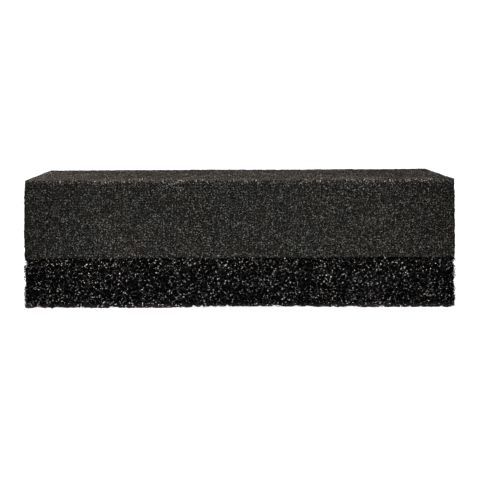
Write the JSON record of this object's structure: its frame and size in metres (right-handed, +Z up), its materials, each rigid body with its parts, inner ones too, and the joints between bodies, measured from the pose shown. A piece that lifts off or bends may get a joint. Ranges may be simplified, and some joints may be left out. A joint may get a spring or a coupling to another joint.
{
  "type": "cleaning sponge",
  "caption": "Rectangular cleaning sponge of two bonded foams: a thick fine-pored layer over a thinner coarse open-cell scrubbing layer.",
  "frame": {"origin": "middle of the rectangle that the coarse layer stands on", "axes": "+X along the length, -Y towards the long side seen in the picture, +Z up through the thickness, from the coarse layer to the fine one"},
  "size_m": [0.15, 0.09, 0.0442],
  "materials": {
    "fine_foam": "matte",
    "coarse_foam": "satin"
  },
  "bodies": {
    "root": {"fine_foam_block": "fine_foam", "coarse_scrub_layer": "coarse_foam"}
  },
  "joints": []
}
